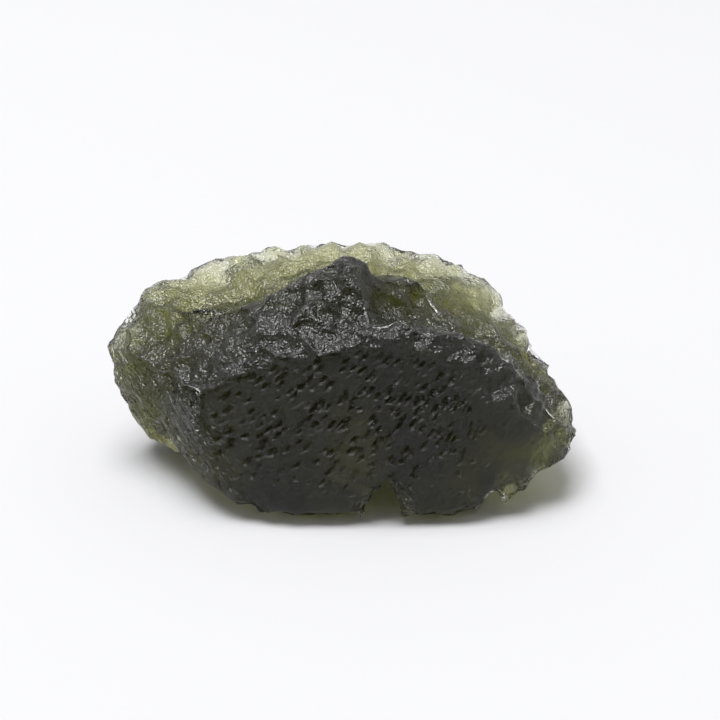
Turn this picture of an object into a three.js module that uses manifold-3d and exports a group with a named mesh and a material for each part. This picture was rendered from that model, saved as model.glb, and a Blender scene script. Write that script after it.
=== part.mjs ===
// A moldavite: one natural piece of green impact glass, lying on the worn spots of its hollow underside.
// Units are millimetres. +Z is up, +Y runs from the broken front face to the thin back rim, and +X to the right
// of someone who looks at the broken face. The origin is the middle of the footprint, on the ground.

import * as THREE from "three";
import { ConvexHull } from "three/addons/math/ConvexHull.js";
import { mergeVertices } from "three/addons/utils/BufferGeometryUtils.js";
import Module from "manifold-3d";

// Driving dimensions
const LENGTH = 32; // left tip to right tip
const DEPTH = 19; // front face to back rim
const HEIGHT = 15.5; // lower edge of the broken face to the crest
const LIFT = 0.5; // ground to the lower edge of the broken face
const DETAIL = 19; // cuts of each edge of the ball that the facets come from
const MERGE_DISTANCE = 0.001; // within which points of the ball are one
const SPREADING_PASSES = 12; // how often the facets are evened out on the coarse form
const ROUNDING_PASSES = 1; // how far the old edges have been etched round
const ROUNDING_STEP = 0.5; // how far a point goes towards the middle of its neighbours in a pass
const RIDGE_ANGLE = 18; // degrees between two sides of the coarse form that meet in a ridge
const SHARPEST_FOLD = -0.1; // cosine between two facets at a point, below which the point is ironed out
const IRONING_PASSES = 30;
const LEAST_TURN = 0.6; // cosine of how far a facet may turn when one of its points is drawn onto a ridge
const RIDGE_PULL = 0.42; // how near a ridge a point has to lie to be drawn onto it
const FACET_SIZE = LENGTH / (2.3 * DETAIL); // about: a ball cut n times has 2.3 n facets along it

// Etched cups
const CUP_SPACING = 1.3; // nearest that two cups start to each other
const CUP_RADIUS = { least: 0.9, most: 2.0 }; // of a cup's mouth
const CUP_RARITY = 1.5; // over 1 makes wide cups rarer than small ones
const CUP_DEPTH = 0.3; // as a share of its mouth's radius
const CUP_REACH = 1.3; // how far from its middle a cup etches, as a share of its mouth's radius
const SAME_SIDE = 0.1; // cosine between a cup and what it etches: the far side of a thin rim is left alone
const CUP_RIDGE_PULL = 0.5; // how near the ridge between two cups a point is drawn onto it, in facets
const CUP_RIDGE_PASSES = 6; // how often it is set onto one wall and then the other to get there
const SCATTER_SEED = 39;

// Where there are no cups: how squarely a place faces a way, as a cosine, and where it lies, as a share of the
// stone's height or length
const BROKEN_SIDE = { frontward: 0.75, top: 0.74 };
const FLANK_SIDE = { leftward: 0.4, frontward: 0.3, top: 0.48, leftOf: 0.2 };
const FOOT_TOP = 0.04;

// Landmarks of the form, each [across, back, up] in percent of LENGTH (from the middle), DEPTH and HEIGHT (from
// LIFT up). Those that are lower than the ground make the flat spots that the stone lies on.
const BROKEN_FACE_RIM = [
  [-28.5, 16, 51], [-21.5, 14, 62], [-8.5, 13, 69], [7.5, 13, 75], [20.5, 13, 68], [25.5, 10, 51],
  [33.5, 12, 44], [40, 16, 31], [45.5, 15, 9.5], [40, 9.5, 7], [38.5, 7, 3], [35.5, 5.5, 0], [29, 3, 0],
  [24, 1, 0], [19, 1.5, -0.5], [9.5, 1.5, 0], [-2, 1, 0], [-8.5, 0, -0.5], [-18, 3, 1.5], [-21.5, 5, 8],
  [-26.5, 9.5, 27],
];
const BROKEN_FACE = [
  [-2, 6, 39], [-16, 8, 38], [14, 6, 38], [28, 8, 26], [-10, 3.5, 16], [22, 4.5, 14], [40, 15, 19],
];
const LEFT_FLANK = [
  [-27, 14, 5.5], [-34, 29, 12], [-40, 42, 16], [-45.5, 50, 23], [-49, 53, 34], [-50, 53, 49],
  [-40, 37, 49], [-34, 26, 49], [-37, 34, 31],
];
const SHOULDER = [
  [-19, 21, 71], [-8, 24, 80], [0, 27, 88], [4, 26, 86], [6, 21, 78], [12.5, 21, 80], [19, 20, 77],
  [25, 21, 75], [32.5, 22, 64], [36, 24, 54], [38, 22, 45],
];
const CREST = [
  [-28.5, 32, 63], [-16.5, 36, 80], [-8.5, 38, 90], [-3, 39, 97], [1, 40, 100], [4.5, 42, 95], [8.5, 46, 83],
  [12.5, 50, 84], [17, 55, 74],
];
const VALLEY = [
  [-35, 54, 64], [-19, 60, 68], [-2, 66, 76], [8, 34, 74], [16, 38, 67], [25, 44, 61], [33, 44, 54],
  [40, 38, 40], [12, 70, 71], [23, 67, 63], [33, 62, 52],
];
const BACK_RIM = [
  [-49, 58, 57], [-44.5, 70, 67], [-42, 80, 71], [-34.5, 87, 73], [-30, 89, 73], [-28.5, 92, 80],
  [-23, 95, 81], [-18, 96, 79], [-10, 97, 81], [2, 98, 81], [9, 98, 80], [13, 98, 77], [20, 99, 79],
  [27, 97, 70], [35, 93, 58], [39.5, 87, 46], [41.5, 80, 36], [44.5, 68, 31], [46.5, 57, 27], [47.5, 47, 23],
  [50.5, 27, 14], [50.5, 22, 5],
];
const BACK_WALL = [
  [-44, 60, 28], [-37, 72, 34], [-18, 84, 40], [2, 86, 40], [20, 90, 34], [36, 84, 24], [43, 68, 13],
];
const FEET = [
  [-8, 30, -7], [-3, 28, -7], [16, 29, -7], [-43.5, 66, 2], [-40, 63, -8], [-35, 57, -9], [-29, 60, -7],
  [-8, 64, 8], [14, 62, -8], [25, 61, -9], [21, 53, -8], [38, 52, 10],
];
const UNDERSIDE = [
  [-22, 38, 12], [4, 36, 14], [30, 34, 13], [20, 43, 19], [4, 50, 21], [-16, 48, 18], [34, 44, 14],
];
const LANDMARKS = [
  BROKEN_FACE_RIM, BROKEN_FACE, LEFT_FLANK, SHOULDER, CREST, VALLEY, BACK_RIM, BACK_WALL, FEET, UNDERSIDE,
].flat();
const HEART = [0, 42, 44]; // the point inside from which every landmark can be seen

// Hollows that stand out: at which place, the mouth's radius and how deep they are as a share of it
const HOLLOWS = [
  { at: [6, 13, 76], radius: 0.8, depth: 0.9 },
  { at: [-21, 14, 62], radius: 0.8, depth: 0.8 },
  { at: [8, 34, 75], radius: 1.6, depth: 0.35 },
  { at: [30, 34, 58], radius: 1.9, depth: 0.35 },
  { at: [13, 98, 82], radius: 1.0, depth: 0.4 },
  { at: [-22, 96, 70], radius: 2.2, depth: 0.4 },
];

// Arches in the lower edge of the broken face: where, in percent, and half the width, the height and how far
// they reach back. Each is cut by a ball with so many sides, stretched to that.
const ARCH_SIDES = 12;
const ARCHES = [
  { across: 9, back: 0, halfWidth: 1.2, height: 2.4, reach: 5 },
  { across: 9.4, back: 0, halfWidth: 0.6, height: 3.0, reach: 4 },
  { across: 31, back: 4, halfWidth: 0.9, height: 1.5, reach: 3 },
];

function placed([across, back, up]) {
  return new THREE.Vector3((across * LENGTH) / 100, (back * DEPTH) / 100, LIFT + (up * HEIGHT) / 100);
}

// A repeatable scatter: numbers from 0 to 1 that look random, each the remainder of a multiple of the last.
function* scatter(seed) {
  const multiplier = 48271;
  const modulus = 2 ** 31 - 1;
  for (let state = seed; ; ) {
    state = (state * multiplier) % modulus;
    yield state / modulus;
  }
}

// The landmarks joined to their neighbours: the hull of their directions from the heart says who those are.
function coarseSides(heart) {
  const landmarks = LANDMARKS.map(placed);
  const directions = landmarks.map((p) => p.clone().sub(heart).normalize());
  const landmarkOf = new Map(directions.map((d, i) => [d, landmarks[i]]));
  return new ConvexHull().setFromPoints(directions).faces.map(({ edge }) => {
    const corners = [edge, edge.next, edge.next.next].map((e) => landmarkOf.get(e.head().point));
    return new THREE.Triangle(...corners);
  });
}

function coarseRidges(sides) {
  const corners = sides.flatMap(({ a, b, c }) => [a, b, c]);
  const edges = new THREE.EdgesGeometry(new THREE.BufferGeometry().setFromPoints(corners), RIDGE_ANGLE);
  const ends = pointsOf(edges);
  return ends.flatMap((end, i) => (i % 2 ? [new THREE.Line3(ends[i - 1], end)] : []));
}

function pointsOf(geometry) {
  const { position } = geometry.attributes;
  return Array.from({ length: position.count }, (_, i) => new THREE.Vector3().fromBufferAttribute(position, i));
}

function nearestTo(point, candidates) {
  const distances = candidates.map((candidate) => candidate.distanceToSquared(point));
  return candidates[distances.indexOf(Math.min(...distances))];
}

// Even facets: the points of a ball, pressed to the proportions of the stone, sent out to the coarse form.
function coarseForm() {
  const heart = placed(HEART);
  const sides = coarseSides(heart);
  const ball = new THREE.IcosahedronGeometry(1, DETAIL);
  for (const name of ["normal", "uv"]) ball.deleteAttribute(name);
  const merged = mergeVertices(ball.scale(LENGTH, DEPTH, HEIGHT), MERGE_DISTANCE);
  const points = pointsOf(merged).map((onBall) => {
    const ray = new THREE.Ray(heart, onBall.normalize());
    const hits = sides.map(({ a, b, c }) => ray.intersectTriangle(a, b, c, false, new THREE.Vector3()));
    return hits.find((hit) => hit !== null);
  });
  const form = { points, triangles: merged.index.array, around: points.map(() => []) };
  form.triangles.forEach((i, corner) => form.around[i].push(corner - (corner % 3)));
  for (let pass = 0; pass < SPREADING_PASSES; pass++) {
    round(form, 1);
    for (const point of points) {
      point.copy(nearestTo(point, sides.map((side) => side.closestPointToPoint(point, new THREE.Vector3()))));
    }
  }
  const ridges = coarseRidges(sides);
  points.forEach((point, i) => {
    const candidates = ridges.map((line) => line.closestPointToPoint(point, true, new THREE.Vector3()));
    const onRidge = nearestTo(point, candidates);
    if (onRidge.distanceTo(point) < RIDGE_PULL) moveSoundly(form, i, onRidge);
  });
  return form;
}

// Moves points towards the average of their neighbours: all of them, or those that are picked.
function round(form, passes, picked = () => true) {
  const { points, triangles } = form;
  for (let pass = 0; pass < passes; pass++) {
    const sums = points.map(() => new THREE.Vector4(0, 0, 0, 0));
    triangles.forEach((to, i) => {
      const from = points[triangles[i % 3 === 2 ? i - 2 : i + 1]];
      sums[to].add(new THREE.Vector4(from.x, from.y, from.z, 1));
    });
    const moving = points.map((_, i) => picked(i));
    points.forEach((p, i) => {
      const { x, y, z, w } = sums[i];
      if (moving[i]) p.lerp(new THREE.Vector3(x / w, y / w, z / w), ROUNDING_STEP);
    });
  }
}

function facetNormalsAround({ points, triangles, around }, i) {
  return around[i].map((first) => {
    const [a, b, c] = [0, 1, 2].map((corner) => points[triangles[first + corner]]);
    return new THREE.Triangle(a, b, c).getNormal(new THREE.Vector3());
  });
}

// Whether facets round a point are folded back on each other.
function isFolded(form, i) {
  const normals = facetNormalsAround(form, i);
  return normals.some((one) => normals.some((other) => one.dot(other) < SHARPEST_FOLD));
}

// Moves a point, unless one of the facets round it would turn over or collapse.
function moveSoundly(form, i, target) {
  const before = facetNormalsAround(form, i);
  const from = form.points[i].clone();
  form.points[i].copy(target);
  const turned = facetNormalsAround(form, i).some((normal, k) => normal.dot(before[k]) < LEAST_TURN);
  if (turned) form.points[i].copy(from);
}

// The broken face, the striped flank next to it and the worn feet have no cups.
function takesCups(point, normal) {
  const foot = point.z < FOOT_TOP * HEIGHT;
  const brokenFace = normal.y < -BROKEN_SIDE.frontward && point.z < BROKEN_SIDE.top * HEIGHT;
  const facesLeftFront = normal.x < -FLANK_SIDE.leftward && normal.y < -FLANK_SIDE.frontward;
  const isLowLeft = point.z < FLANK_SIDE.top * HEIGHT && point.x < -FLANK_SIDE.leftOf * LENGTH;
  return !brokenFace && !foot && !(facesLeftFront && isLowLeft);
}

// A round-bottomed cup: the part of a ball that has been etched out of the surface there.
function cupAt(mouth, out, mouthRadius, depthShare) {
  const depth = depthShare * mouthRadius;
  const radius = (mouthRadius ** 2 + depth ** 2) / (2 * depth);
  const centre = mouth.clone().addScaledVector(out, radius - depth);
  return { mouth: mouth.clone(), out: out.clone(), centre, radius, mouthRadius };
}

function normalsOf({ points, triangles }) {
  const geometry = new THREE.BufferGeometry().setFromPoints(points).setIndex([...triangles]);
  geometry.computeVertexNormals();
  return points.map((_, i) => new THREE.Vector3().fromBufferAttribute(geometry.attributes.normal, i));
}

function etchedCups(form, normals) {
  const cups = HOLLOWS.map(({ at, radius, depth }) => {
    const target = placed(at);
    const distances = form.points.map((point) => point.distanceTo(target));
    const nearest = distances.indexOf(Math.min(...distances));
    return cupAt(form.points[nearest], normals[nearest], radius, depth);
  });
  const random = scatter(SCATTER_SEED);
  const order = form.points.map((point, i) => ({ i, point, turn: random.next().value }));
  for (const { i, point } of order.sort((a, b) => a.turn - b.turn)) {
    const taken = cups.some((cup) => cup.mouth.distanceTo(point) < CUP_SPACING);
    if (taken || !takesCups(point, normals[i])) continue;
    const share = random.next().value ** CUP_RARITY;
    const mouthRadius = THREE.MathUtils.lerp(CUP_RADIUS.least, CUP_RADIUS.most, share);
    cups.push(cupAt(point, normals[i], mouthRadius, CUP_DEPTH));
  }
  return cups;
}

const ontoWall = (point, cup) => point.sub(cup.centre).setLength(cup.radius).add(cup.centre);

// Pushes the points that lie in a cup out to its wall, then those beside a ridge onto it, which sharpens it.
function etch(form) {
  const normals = normalsOf(form);
  const cups = etchedCups(form, normals);
  form.points.forEach((point, i) => {
    const reachable = cups.filter(
      (cup) => point.distanceTo(cup.mouth) < CUP_REACH * cup.mouthRadius && normals[i].dot(cup.out) > SAME_SIDE,
    );
    for (const cup of [...reachable, ...reachable]) {
      if (point.distanceTo(cup.centre) < cup.radius) ontoWall(point, cup);
    }
    const near = reachable
      .map((cup) => ({ cup, gap: Math.abs(point.distanceTo(cup.centre) - cup.radius) }))
      .sort((a, b) => a.gap - b.gap);
    if (near.length < 2) return;
    const [first, second] = [near[0].cup, near[1].cup];
    const lean = point.clone().sub(first.centre).angleTo(point.clone().sub(second.centre));
    if (near[1].gap / Math.sin(lean) > CUP_RIDGE_PULL * FACET_SIZE) return;
    const onRidge = point.clone();
    for (let pass = 0; pass < CUP_RIDGE_PASSES; pass++) ontoWall(ontoWall(onRidge, first), second);
    moveSoundly(form, i, onRidge);
  });
}

// Gives a form the driving dimensions above the ground, over the origin. What lies lower is cut off later.
function fit({ points }) {
  const box = new THREE.Box3().setFromPoints(points);
  const size = box.getSize(new THREE.Vector3()).setZ(box.max.z);
  const foot = box.getCenter(new THREE.Vector3()).setZ(0);
  const scale = new THREE.Vector3(LENGTH, DEPTH, LIFT + HEIGHT).divide(size);
  for (const point of points) point.sub(foot).multiply(scale);
}

function solidOf(wasm, { points, triangles }) {
  const vertProperties = new Float32Array(points.flatMap((p) => [p.x, p.y, p.z]));
  return new wasm.Manifold(new wasm.Mesh({ numProp: 3, vertProperties, triVerts: new Uint32Array(triangles) }));
}

function geometryOfSolid(solid) {
  const { vertProperties, triVerts } = solid.getMesh();
  const geometry = new THREE.BufferGeometry().setIndex(new THREE.BufferAttribute(triVerts, 1));
  return geometry.setAttribute("position", new THREE.BufferAttribute(vertProperties, 3));
}

async function stoneGeometry() {
  const form = coarseForm();
  round(form, ROUNDING_PASSES);
  etch(form);
  round(form, IRONING_PASSES, (i) => isFolded(form, i));
  fit(form);
  const wasm = await Module();
  wasm.setup();
  let stone = solidOf(wasm, form);
  for (const { across, back, halfWidth, height, reach } of ARCHES) {
    const { x, y, z } = placed([across, back, 0]);
    const arch = wasm.Manifold.sphere(1, ARCH_SIDES).scale([halfWidth, reach, height]);
    stone = stone.subtract(arch.translate([x, y - DEPTH / 2, z]));
  }
  return geometryOfSolid(stone.trimByPlane([0, 0, 1], 0));
}

const glass = new THREE.MeshStandardMaterial({ color: 0x4a4d33, roughness: 0.35, metalness: 0 });
const stone = new THREE.Mesh(await stoneGeometry(), glass);
stone.name = "moldavite";

const group = new THREE.Group();
group.add(stone);
export default group;
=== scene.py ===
# %% [markdown]
# # A moldavite: etched green impact glass
#
# This script dresses the stone's CAD solid as glass. It works in metres, in the CAD's frame: +Z up, +Y from the
# broken front face to the thin back rim, +X along the stone. It copies the solid, etches fine pits into the copy
# with Geometry Nodes, gives it one glass material, and sets a soft studio round it.

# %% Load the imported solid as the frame
from math import cos, radians, sin

import bmesh
import bpy
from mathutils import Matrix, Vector


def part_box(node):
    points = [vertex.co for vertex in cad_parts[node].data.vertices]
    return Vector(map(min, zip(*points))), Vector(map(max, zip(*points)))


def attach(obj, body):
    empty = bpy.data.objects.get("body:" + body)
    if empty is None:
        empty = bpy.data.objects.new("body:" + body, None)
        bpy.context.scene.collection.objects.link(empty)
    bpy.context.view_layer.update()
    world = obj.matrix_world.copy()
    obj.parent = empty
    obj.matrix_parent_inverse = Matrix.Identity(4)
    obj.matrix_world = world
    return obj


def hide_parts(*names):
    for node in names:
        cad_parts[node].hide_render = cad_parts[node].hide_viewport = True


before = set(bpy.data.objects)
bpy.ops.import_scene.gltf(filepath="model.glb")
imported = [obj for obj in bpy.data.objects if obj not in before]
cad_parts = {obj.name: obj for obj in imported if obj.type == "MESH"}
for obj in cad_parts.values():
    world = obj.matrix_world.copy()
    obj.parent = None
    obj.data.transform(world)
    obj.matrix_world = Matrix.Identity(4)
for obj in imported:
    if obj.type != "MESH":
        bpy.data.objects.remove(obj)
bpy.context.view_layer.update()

MM = 0.001
stone_low, stone_high = (Vector(corner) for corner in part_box("moldavite"))
stone_size = stone_high - stone_low
print("the solid measures", [round(side / MM, 2) for side in stone_size], "mm")

# %% [markdown]
# ## Small helpers
#
# One function turns sRGB hex colours linear, and one adds a node with its settings and links. Every tree below is
# made with that second one. It takes a node where a value goes, and links that node's first output, so sums can be
# written inside each other. Some nodes have several sockets of one name, of which only one is live, so another
# function finds that one. The last two multiply or add up any number of values, with a chain of nodes.
#
# Where a pattern fades in or out, a Map Range node takes the value, where the change starts and ends, and what it
# gives there: from 0 to 1, if nothing else is said.

# %% Colours and nodes
MATH, VECTOR_MATH, MAP_RANGE = "ShaderNodeMath", "ShaderNodeVectorMath", "ShaderNodeMapRange"
SOFTLY = {"interpolation_type": "SMOOTHSTEP"}  # a Map Range that starts and ends softly


def linear(hex_colour):
    """The linear RGBA of an sRGB colour written as six hex digits."""
    channels = [int(hex_colour[i:i + 2], 16) / 255 for i in (0, 2, 4)]
    return [c / 12.92 if c <= 0.04045 else ((c + 0.055) / 1.055) ** 2.4 for c in channels] + [1.0]


def live(sockets, name=None):
    """The first socket in use, or the first one in use of that name."""
    return next(s for s in sockets if s.enabled and name in (None, s.name))


def add(tree, kind, *inputs, **settings):
    """A new node of that kind. Inputs fill its sockets in order, or by name in a dict. Settings are properties."""
    node = tree.nodes.new(kind)
    for name, value in settings.items():
        setattr(node, name, value)
    filled = {}
    for place, value in enumerate(inputs):
        filled.update(value if isinstance(value, dict) else {place: value})
    for key, value in filled.items():
        socket = live(node.inputs, key) if isinstance(key, str) else node.inputs[key]
        if isinstance(value, bpy.types.Node):
            value = live(value.outputs)
        if isinstance(value, bpy.types.NodeSocket):
            tree.links.new(value, socket)
        else:
            socket.default_value = value
    return node


# %% Sums
def product(tree, first, *others):
    """All of them multiplied."""
    for other in others:
        first = add(tree, MATH, first, other, operation="MULTIPLY")
    return first


def total(tree, first, *others):
    """All of them added up."""
    for other in others:
        first = add(tree, MATH, first, other, operation="ADD")
    return first


# %% [markdown]
# ## The patterns of the surface
#
# Acid soil etched this glass for millions of years. It bit hollows that touch in sharp ridges, so a hollow is a cell
# of a Voronoi pattern: round at its bottom for a cup, and flat-sided for a chip, which the pattern's Manhattan
# distance gives. On the broken face the pits are small and lie along the flow lines of the glass, which rise to the
# right. The flank next to it has fine stripes. The mesh takes the large marks and the material the fine ones, and
# both read these functions.

# %% Cups, chips and pits
def shaken(tree, place, size, amount):
    """The place, moved about a little, so that cells get uneven outlines."""
    cloud = add(tree, "ShaderNodeTexNoise", {"Vector": place, "Scale": 1 / size, "Detail": 2.0})
    push = add(tree, VECTOR_MATH, cloud.outputs["Color"], (0.5, 0.5, 0.5), operation="SUBTRACT")
    push = add(tree, VECTOR_MATH, push, {"Scale": amount}, operation="SCALE")
    return add(tree, VECTOR_MATH, place, push, operation="ADD")


def cups(tree, place, size):
    """Touching cups: 0 at their ridges and about 1 at their bottoms."""
    cell = add(tree, "ShaderNodeTexVoronoi", {"Vector": place, "Scale": 1 / size})
    squared = add(tree, MATH, cell, 2.0, operation="POWER")
    return add(tree, MATH, 1.0, product(tree, squared, 1.6), operation="SUBTRACT")


def chips(tree, place, size):
    """Touching hollows with flat sides: about 0 at their ridges and 1 at their bottoms."""
    cell = add(tree, "ShaderNodeTexVoronoi", {"Vector": place, "Scale": 1 / size}, distance="MANHATTAN")
    return add(tree, MATH, 1.0, cell, operation="SUBTRACT")


def single_pits(tree, place, size):
    """Pits with flat ground between them: 0 on the ground, 1 at a bottom. A few of them are shallow."""
    cell = add(tree, "ShaderNodeTexVoronoi", {"Vector": place, "Scale": 1 / size})
    hollow = add(tree, MAP_RANGE, cell, 0.08, 0.5, 1.0, 0.0, **SOFTLY)
    chance = add(tree, "ShaderNodeSeparateXYZ", cell.outputs["Color"])
    return product(tree, hollow, add(tree, MAP_RANGE, chance, -0.2, 0.15, **SOFTLY))


# %% Flow lines and stripes
FLOW_RISE = 0.42  # how steeply the flow lines rise in the middle of the broken face
FLOW_TURN = 0.04 / MM  # and how much steeper they get per metre to the right
FLOW_STRETCH = 0.6  # a pit's height for its length
STRIPE_RUN = Vector((0.6, -0.6, -0.54)).normalized()  # the way the flank's stripes run, down to the front
STRIPE_STRETCH = 0.25  # a stripe's width for its length


def along_flow(tree, place):
    """Coordinates in which the flow lines of the broken face are level, and pressed together."""
    x, y, z = add(tree, "ShaderNodeSeparateXYZ", place).outputs
    rise = add(tree, MATH, x, FLOW_TURN / 2, FLOW_RISE, operation="MULTIPLY_ADD")
    level = add(tree, MATH, z, product(tree, x, rise), operation="SUBTRACT")
    return add(tree, "ShaderNodeCombineXYZ", product(tree, x, FLOW_STRETCH), y, level)


def along_stripes(tree, place):
    """Coordinates pressed together along the stripes of the flank."""
    how_far = add(tree, VECTOR_MATH, place, STRIPE_RUN, operation="DOT_PRODUCT")
    pressed = product(tree, how_far, STRIPE_STRETCH - 1)
    along = add(tree, VECTOR_MATH, STRIPE_RUN, {"Scale": pressed}, operation="SCALE")
    return add(tree, VECTOR_MATH, place, along, operation="ADD")


# %% [markdown]
# ## The glass
#
# Moldavite is clear olive glass under an etched skin. The colour is all absorption, so it comes from the thickness:
# a millimetre of rim is nearly clear, and ten millimetres are nearly black. The surface has no colour of its own,
# and its grey sheen is the reflection of the light in countless tiny hollows.
#
# A tint on the surface would make a thin rim and the thick middle the same green, so the colour sits in a volume.
# The roughness differs by place: the wet-looking rim is the smoothest, and the broken face is matt.

# %% The material: natural impact glass, etched
GLASS_IOR = 1.49  # moldavites measure 1.48 to 1.51
ABSORPTION_COLOUR = "CACB8C"
ABSORPTION_PER_METRE = 900.0
SPECULAR_LEVEL = 0.5  # the plain reflection of that IOR
PATCH_SIZE = 2 * MM
SKIN_ROUGHNESS = (0.14, 0.3)  # from the polished to the dull patches
SHOULDER_ROUGHNESS = 0.3
FACE_ROUGHNESS = 0.5

# Sizes are real ones, and heights are in millimetres. Only the grain is drawn too coarse: the finest etching is
# about 0.05 mm wide, which is less than a pixel.
GRAIN_SIZE, GRAIN_HEIGHT = 0.2 * MM, 0.05
SCALLOP_SIZE, SCALLOP_HEIGHT = 0.9 * MM, 0.05
FINE_PIT_SIZE, FINE_PIT_HEIGHT = 0.34 * MM, 0.045
FINE_STRIPE_SIZE, FINE_STRIPE_HEIGHT = 0.28 * MM, 0.2


def impact_glass():
    material = bpy.data.materials.new("natural_impact_glass_etched")
    material.use_nodes = True
    tree = material.node_tree
    tree.nodes.clear()
    place = add(tree, "ShaderNodeTexCoord").outputs["Object"]
    broken_face, flank, shoulder = (
        add(tree, "ShaderNodeAttribute", attribute_name=name).outputs["Fac"]
        for name in ("broken_face", "flank", "shoulder")
    )
    plain = add(tree, MATH, broken_face, flank, operation="MAXIMUM")
    skin = add(tree, MATH, 1.0, plain, operation="SUBTRACT")
    grainy = add(tree, MATH, plain, -0.5, 1.0, operation="MULTIPLY_ADD")

    uneven = shaken(tree, place, 0.6 * MM, 0.3 * MM)
    height = total(
        tree,
        product(tree, chips(tree, uneven, GRAIN_SIZE), GRAIN_HEIGHT, grainy),
        product(tree, chips(tree, uneven, SCALLOP_SIZE), -SCALLOP_HEIGHT, skin),
        product(tree, cups(tree, along_flow(tree, uneven), FINE_PIT_SIZE), -FINE_PIT_HEIGHT, broken_face),
        product(tree, chips(tree, along_stripes(tree, uneven), FINE_STRIPE_SIZE), -FINE_STRIPE_HEIGHT, flank),
    )
    bump = add(tree, "ShaderNodeBump", {"Height": height, "Strength": 1.0, "Distance": MM})

    cloud = add(tree, "ShaderNodeTexNoise", {"Vector": place, "Scale": 1 / PATCH_SIZE, "Detail": 2.0})
    roughness = add(tree, MAP_RANGE, cloud, 0.35, 0.65, *SKIN_ROUGHNESS, **SOFTLY)
    for part, value in ((shoulder, SHOULDER_ROUGHNESS), (broken_face, FACE_ROUGHNESS)):
        roughness = add(tree, "ShaderNodeMix", {"Factor": part, "A": roughness, "B": value})

    surface = add(tree, "ShaderNodeBsdfPrincipled", {
        "Base Color": (1.0, 1.0, 1.0, 1.0), "Roughness": roughness, "IOR": GLASS_IOR, "Transmission Weight": 1.0,
        "Specular IOR Level": SPECULAR_LEVEL, "Normal": bump,
    })
    inside = add(tree, "ShaderNodeVolumeAbsorption", {
        "Color": linear(ABSORPTION_COLOUR), "Density": ABSORPTION_PER_METRE,
    })
    add(tree, "ShaderNodeOutputMaterial", {"Surface": surface, "Volume": inside})
    return material


glass = impact_glass()
absorbed = [round(ABSORPTION_PER_METRE * MM * (1 - c), 2) for c in linear(ABSORPTION_COLOUR)[:3]]
print("the glass absorbs red, green and blue at", absorbed, "per mm")

# %% [markdown]
# ## The etched skin
#
# The CAD solid has the lumps, ledges and cups. The tree below smooths its facets between the ridges and works out
# from the broad slope of the surface which part is the broken face, the striped flank, the shoulder above them and
# the steep back. Then it sinks the hollows and pits. Everything sinks, so the stone stays inside the CAD's box, and
# the flat feet stay as they are.
#
# A bump in the material alone would leave the outline smooth, and sculpting by hand couldn't be tried again with
# other depths. A tree of nodes makes a real surface, and its inputs can be changed at any time.

# %% Which part of the surface is which
def surface_marks(tree):
    """The fields that say how much a point lies on each part of the surface."""
    def softened(field):
        return add(tree, "GeometryNodeBlurAttribute", {"Value": field, "Iterations": 2}, data_type="FLOAT")

    inputs = {"Value": add(tree, "GeometryNodeInputNormal"), "Iterations": 2}
    broad = add(tree, "GeometryNodeBlurAttribute", inputs, data_type="FLOAT_VECTOR")
    sides = add(tree, "ShaderNodeSeparateXYZ", broad).outputs
    place = add(tree, "ShaderNodeSeparateXYZ", add(tree, "GeometryNodeInputPosition")).outputs
    frontwards = product(tree, sides["Y"], -1.0)
    leftwards = product(tree, sides["X"], -1.0)

    faces_front = add(tree, MAP_RANGE, frontwards, 0.74, 0.84, **SOFTLY)
    below_shoulder = add(tree, MAP_RANGE, place["Z"], 11.2 * MM, 12.2 * MM, 1.0, 0.0, **SOFTLY)
    faces_left = add(tree, MAP_RANGE, leftwards, 0.2, 0.4, **SOFTLY)
    not_upwards = add(tree, MAP_RANGE, sides["Z"], 0.15, 0.4, 1.0, 0.0, **SOFTLY)
    some_front = add(tree, MAP_RANGE, frontwards, 0.0, 0.35, **SOFTLY)
    some_up = add(tree, MAP_RANGE, sides["Z"], 0.1, 0.4, **SOFTLY)
    faces_back = add(tree, MAP_RANGE, sides["Y"], 0.1, 0.4, **SOFTLY)
    steep = add(tree, MAP_RANGE, sides["Z"], -0.1, 0.2, 1.0, 0.0, **SOFTLY)
    off_the_ground = add(tree, MAP_RANGE, place["Z"], 3 * MM, 6 * MM, **SOFTLY)
    off_the_end = add(tree, MAP_RANGE, place["X"], -13 * MM, -9 * MM, **SOFTLY)
    thin_part = product(tree, off_the_ground, off_the_end)
    return {
        "broken_face": product(tree, faces_front, below_shoulder),
        "flank": softened(product(tree, faces_left, not_upwards)),
        "shoulder": product(tree, some_front, some_up),
        "back_wall": softened(product(tree, faces_back, steep, thin_part)),
    }


# %% How wide and how deep the etching is
CUP_SIZE = 2.3 * MM
CHIP_SIZE = 1.3 * MM
PIT_SIZE = 0.7 * MM
FACE_PIT_SIZE = 0.5 * MM
STRIPE_SIZE = 0.6 * MM
ETCHING = {
    "Cup Depth": 0.75 * MM, "Pit Depth": 0.1 * MM, "Chip Depth": 0.4 * MM, "Face Pit Depth": 0.34 * MM,
    "Face Lean": 0.8 * MM, "Stripe Depth": 0.22 * MM, "Rim Thinning": 0.5 * MM, "Seed": 13.7 * MM, "Detail": 2,
}
THICKEST = 4 * MM  # glass that counts as thick
LARGEST_SHARE = 0.3  # of the glass behind a point that the etching takes away
RIDGE_ANGLE = radians(32)  # between two facets that meet in a crisp ridge
print("the largest cups are about", CUP_SIZE / MM, "mm wide and", ETCHING["Cup Depth"] / MM, "mm deep")


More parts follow.
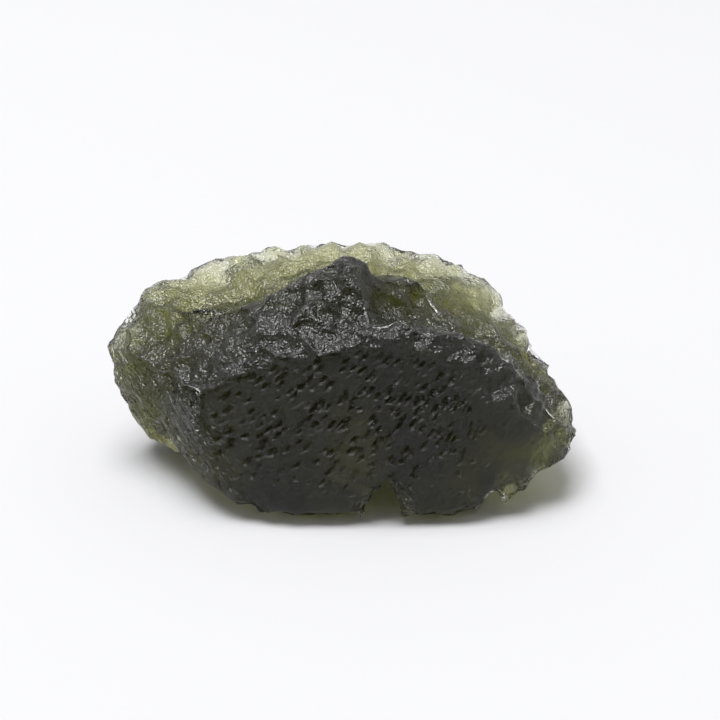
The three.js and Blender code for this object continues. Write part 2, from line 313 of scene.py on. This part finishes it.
# %% The depth at each point
def sinking(tree, given):
    """How deep each point of the fine surface sinks."""
    def marked(name):
        return add(tree, "GeometryNodeInputNamedAttribute", {"Name": name}, data_type="FLOAT")

    position = add(tree, "GeometryNodeInputPosition")
    x, _, z = add(tree, "ShaderNodeSeparateXYZ", position).outputs
    place = add(tree, VECTOR_MATH, position, given["Seed"], operation="ADD")
    uneven = shaken(tree, place, 1.2 * MM, 0.7 * MM)
    flow = along_flow(tree, shaken(tree, place, 0.8 * MM, 0.3 * MM))
    stripes = chips(tree, along_stripes(tree, uneven), STRIPE_SIZE)

    # The cups are shallower on the shoulder and along the upper rim. The broken face is smooth low down and at its
    # far right.
    plain = add(tree, MATH, marked("broken_face"), marked("flank"), operation="MAXIMUM")
    skin = add(tree, MATH, 1.0, plain, operation="SUBTRACT")
    below_the_rim = add(tree, MAP_RANGE, z, 12.5 * MM, 15 * MM, 1.0, 0.45, **SOFTLY)
    off_the_shoulder = add(tree, MAP_RANGE, marked("shoulder"), 0.0, 1.0, 1.0, 0.4, **SOFTLY)
    higher_up = add(tree, MAP_RANGE, z, 1.5 * MM, 5 * MM, 0.3, **SOFTLY)
    further_left = add(tree, MAP_RANGE, x, 6 * MM, 11 * MM, 1.0, 0.3, **SOFTLY)
    on_face = product(tree, marked("broken_face"), product(tree, higher_up, further_left))
    above_the_feet = add(tree, MAP_RANGE, z, 0.05 * MM, 0.4 * MM, **SOFTLY)

    height_up = add(tree, MATH, z, stone_high.z, operation="DIVIDE")
    depth = total(
        tree,
        product(tree, chips(tree, uneven, CUP_SIZE), given["Cup Depth"],
                product(tree, skin, below_the_rim, off_the_shoulder)),
        product(tree, cups(tree, uneven, PIT_SIZE), given["Pit Depth"], skin),
        product(tree, chips(tree, uneven, CHIP_SIZE), given["Chip Depth"], product(tree, skin, marked("shoulder"))),
        product(tree, single_pits(tree, flow, FACE_PIT_SIZE), given["Face Pit Depth"], on_face),
        product(tree, height_up, given["Face Lean"], marked("broken_face")),
        product(tree, stripes, given["Stripe Depth"], marked("flank")),
        product(tree, marked("back_wall"), given["Rim Thinning"]),
    )
    return product(tree, add(tree, MATH, depth, 0.0, operation="MAXIMUM"), above_the_feet)


def glass_behind(tree, shape, normal):
    """How much glass lies behind each point of the surface, up to THICKEST."""
    inwards = add(tree, VECTOR_MATH, normal, {"Scale": -1.0}, operation="SCALE")
    first_step = add(tree, VECTOR_MATH, inwards, {"Scale": 0.02 * MM}, operation="SCALE")
    start = add(tree, VECTOR_MATH, add(tree, "GeometryNodeInputPosition"), first_step, operation="ADD")
    inputs = {"Target Geometry": shape, "Source Position": start, "Ray Direction": inwards, "Ray Length": THICKEST}
    ray = add(tree, "GeometryNodeRaycast", inputs).outputs
    missed = add(tree, MATH, 1.0, ray["Is Hit"], operation="SUBTRACT")
    return add(tree, MATH, missed, THICKEST, ray["Hit Distance"], operation="MULTIPLY_ADD")


# %% [markdown]
# ## The tree that etches
#
# It marks the parts, subdivides, sinks and shades. Points sink along normals that were blurred first, because raw
# normals turn so fast at a ridge that neighbours would cross and leave burrs. Nowhere does it take more than a share
# of the glass behind, so the thin rim gets no holes. At the end the edges between steep neighbours are set sharp,
# since ridges catch the light in crisp lines.

# %% The Geometry Nodes tree
def etching_tree(material):
    tree = bpy.data.node_groups.new("etching", "GeometryNodeTree")
    interface = tree.interface
    interface.new_socket("Geometry", in_out="INPUT", socket_type="NodeSocketGeometry")
    for name in ETCHING:
        kind = "NodeSocketInt" if name == "Detail" else "NodeSocketFloat"
        interface.new_socket(name, in_out="INPUT", socket_type=kind)
    interface.new_socket("Geometry", in_out="OUTPUT", socket_type="NodeSocketGeometry")
    given = add(tree, "NodeGroupInput").outputs

    shape = given["Geometry"]
    for name, field in surface_marks(tree).items():
        inputs = {"Geometry": shape, "Name": name, "Value": field}
        shape = add(tree, "GeometryNodeStoreNamedAttribute", inputs, data_type="FLOAT", domain="POINT")
    angle = add(tree, "GeometryNodeInputMeshEdgeAngle").outputs["Unsigned Angle"]
    crease = add(tree, MAP_RANGE, angle, radians(14), radians(40), 0.0, 0.95, **SOFTLY)
    inputs = {"Mesh": shape, "Level": given["Detail"], "Edge Crease": crease}
    shape = add(tree, "GeometryNodeSubdivisionSurface", inputs).outputs["Mesh"]

    normal = add(tree, "GeometryNodeInputNormal")
    outwards = add(tree, "GeometryNodeBlurAttribute", {"Value": normal, "Iterations": 6}, data_type="FLOAT_VECTOR")
    most = product(tree, glass_behind(tree, shape, normal), LARGEST_SHARE)
    depth = add(tree, MATH, sinking(tree, given), most, operation="MINIMUM")
    offset = add(tree, VECTOR_MATH, outwards, {"Scale": product(tree, depth, -1.0)}, operation="SCALE")
    shape = add(tree, "GeometryNodeSetPosition", {"Geometry": shape, "Offset": offset})

    shape = add(tree, "GeometryNodeSetShadeSmooth", shape, {"Shade Smooth": True})
    angle = add(tree, "GeometryNodeInputMeshEdgeAngle").outputs["Unsigned Angle"]
    ridges = add(tree, MATH, angle, RIDGE_ANGLE, operation="GREATER_THAN")
    inputs = {"Selection": ridges, "Shade Smooth": False}
    shape = add(tree, "GeometryNodeSetShadeSmooth", shape, inputs, domain="EDGE")
    shape = add(tree, "GeometryNodeRealizeInstances", shape)
    shape = add(tree, "GeometryNodeSetMaterial", {"Geometry": shape, "Material": material})
    add(tree, "NodeGroupOutput", {"Geometry": shape})
    return tree


# %% Etch a copy of the solid
def merged_copy(node):
    """The node's mesh with its corners merged. The CAD object's own mesh stays as it is."""
    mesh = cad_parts[node].data.copy()
    shared = bmesh.new()
    shared.from_mesh(mesh)
    bmesh.ops.remove_doubles(shared, verts=shared.verts, dist=0.001 * MM)
    shared.to_mesh(mesh)
    shared.free()
    mesh.materials.clear()
    return mesh


def etched(mesh, name, material):
    """A new object: the mesh, etched by the tree."""
    piece = bpy.data.objects.new(name, mesh)
    bpy.context.scene.collection.objects.link(piece)
    tree = etching_tree(material)
    modifier = piece.modifiers.new("etching", "NODES")
    modifier.node_group = tree
    for socket in tree.interface.items_tree:
        if socket.in_out == "INPUT" and socket.name in ETCHING:
            modifier[socket.identifier] = ETCHING[socket.name]
    graph = bpy.context.evaluated_depsgraph_get()
    evaluated = piece.evaluated_get(graph)
    result = bpy.data.meshes.new_from_object(evaluated, preserve_all_data_layers=True, depsgraph=graph)
    piece.modifiers.remove(modifier)
    piece.data = result
    piece.data.name = name
    return piece


stone = etched(merged_copy("moldavite"), "moldavite_glass", glass)
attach(stone, "root")
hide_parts("moldavite")

# %% Measure the etched stone
triangles = sum(len(p.vertices) - 2 for p in stone.data.polygons)
corners = [v.co for v in stone.data.vertices]
span = [round((max(c[i] for c in corners) - min(c[i] for c in corners)) / MM, 2) for i in range(3)]
print("the etched stone has", triangles, "triangles and measures", span, "mm")

# %% [markdown]
# ## The studio
#
# The photograph was taken on a pale sheet under soft light from above, with the dark room on the camera's side. So
# one large lamp hangs over the stone, a little to the left, and the world is white overhead and behind and black
# towards the camera. The broken face mirrors that dark side. The paper is light grey and the lamp strong: the paper
# shows as white, and the shoulder still gets bright reflections.

# %% Floor
FLOOR_HALF = 0.6
PAPER_COLOUR = "B0B0B2"


def floor_sheet():
    mesh = bpy.data.meshes.new("floor")
    rim = [(-FLOOR_HALF, -FLOOR_HALF, 0), (FLOOR_HALF, -FLOOR_HALF, 0), (FLOOR_HALF, FLOOR_HALF, 0),
           (-FLOOR_HALF, FLOOR_HALF, 0)]
    mesh.from_pydata(rim, [], [(0, 1, 2, 3)])
    floor = bpy.data.objects.new("floor", mesh)
    bpy.context.scene.collection.objects.link(floor)
    material = bpy.data.materials.new("matt_pale_paper")
    material.use_nodes = True
    paper = material.node_tree.nodes["Principled BSDF"].inputs
    paper["Base Color"].default_value = linear(PAPER_COLOUR)
    paper["Roughness"].default_value = 0.9
    paper["Specular IOR Level"].default_value = 0.1
    mesh.materials.append(material)


floor_sheet()

# %% World and lamp
WORLD_STRENGTH = 0.74
LAMP_PLACE, LAMP_SIZE, LAMP_WATTS = Vector((-0.14, -0.02, 0.9)), 0.62, 15.0


def soft_world():
    world = bpy.data.worlds.new("studio")
    world.use_nodes = True
    tree = world.node_tree
    tree.nodes.clear()
    direction = add(tree, "ShaderNodeTexCoord").outputs["Generated"]
    towards = add(tree, "ShaderNodeSeparateXYZ", direction).outputs
    strength = add(tree, MAP_RANGE, towards["Y"], -0.95, -0.4, 0.0, WORLD_STRENGTH, **SOFTLY)
    light = add(tree, "ShaderNodeBackground", {"Color": (1.0, 1.0, 1.0, 1.0), "Strength": strength})
    add(tree, "ShaderNodeOutputWorld", {"Surface": light})
    bpy.context.scene.world = world


def overhead_lamp(aim):
    light = bpy.data.lights.new("overhead_softbox", "AREA")
    light.shape = "SQUARE"
    light.size = LAMP_SIZE
    light.energy = LAMP_WATTS
    lamp = bpy.data.objects.new("overhead_softbox", light)
    lamp.location = LAMP_PLACE
    lamp.rotation_euler = (aim - LAMP_PLACE).to_track_quat("-Z", "Y").to_euler()
    bpy.context.scene.collection.objects.link(lamp)


soft_world()
overhead_lamp((stone_low + stone_high) / 2)

# %% [markdown]
# The photo looks down on the stone by about 25 degrees. A long lens from a little over a hand's width away gives the
# same slight perspective. Light crosses the glass many times before it leaves, so the paths may be long.

# %% Camera
CAMERA_ELEVATION = radians(25)
CAMERA_DISTANCE = 134.8 * MM
CAMERA_TARGET = Vector((1.35 * MM, 0.0, stone_high.z - 8.4 * MM))
CAMERA_LENS = 100.0


def photo_camera():
    camera = bpy.data.cameras.new("camera")
    camera.lens = CAMERA_LENS
    camera.sensor_width = 36.0
    camera.clip_start = 0.005
    viewer = bpy.data.objects.new("camera", camera)
    away = Vector((0.0, -cos(CAMERA_ELEVATION), sin(CAMERA_ELEVATION)))
    viewer.location = CAMERA_TARGET + away * CAMERA_DISTANCE
    viewer.rotation_euler = (-away).to_track_quat("-Z", "Y").to_euler()
    bpy.context.scene.collection.objects.link(viewer)
    bpy.context.scene.camera = viewer


photo_camera()
scene = bpy.context.scene
scene.view_settings.view_transform = "Standard"
scene.cycles.max_bounces = 24
scene.cycles.transmission_bounces = 24
scene.cycles.glossy_bounces = 8
print("camera at", [round(x / MM, 1) for x in scene.camera.location], "mm")
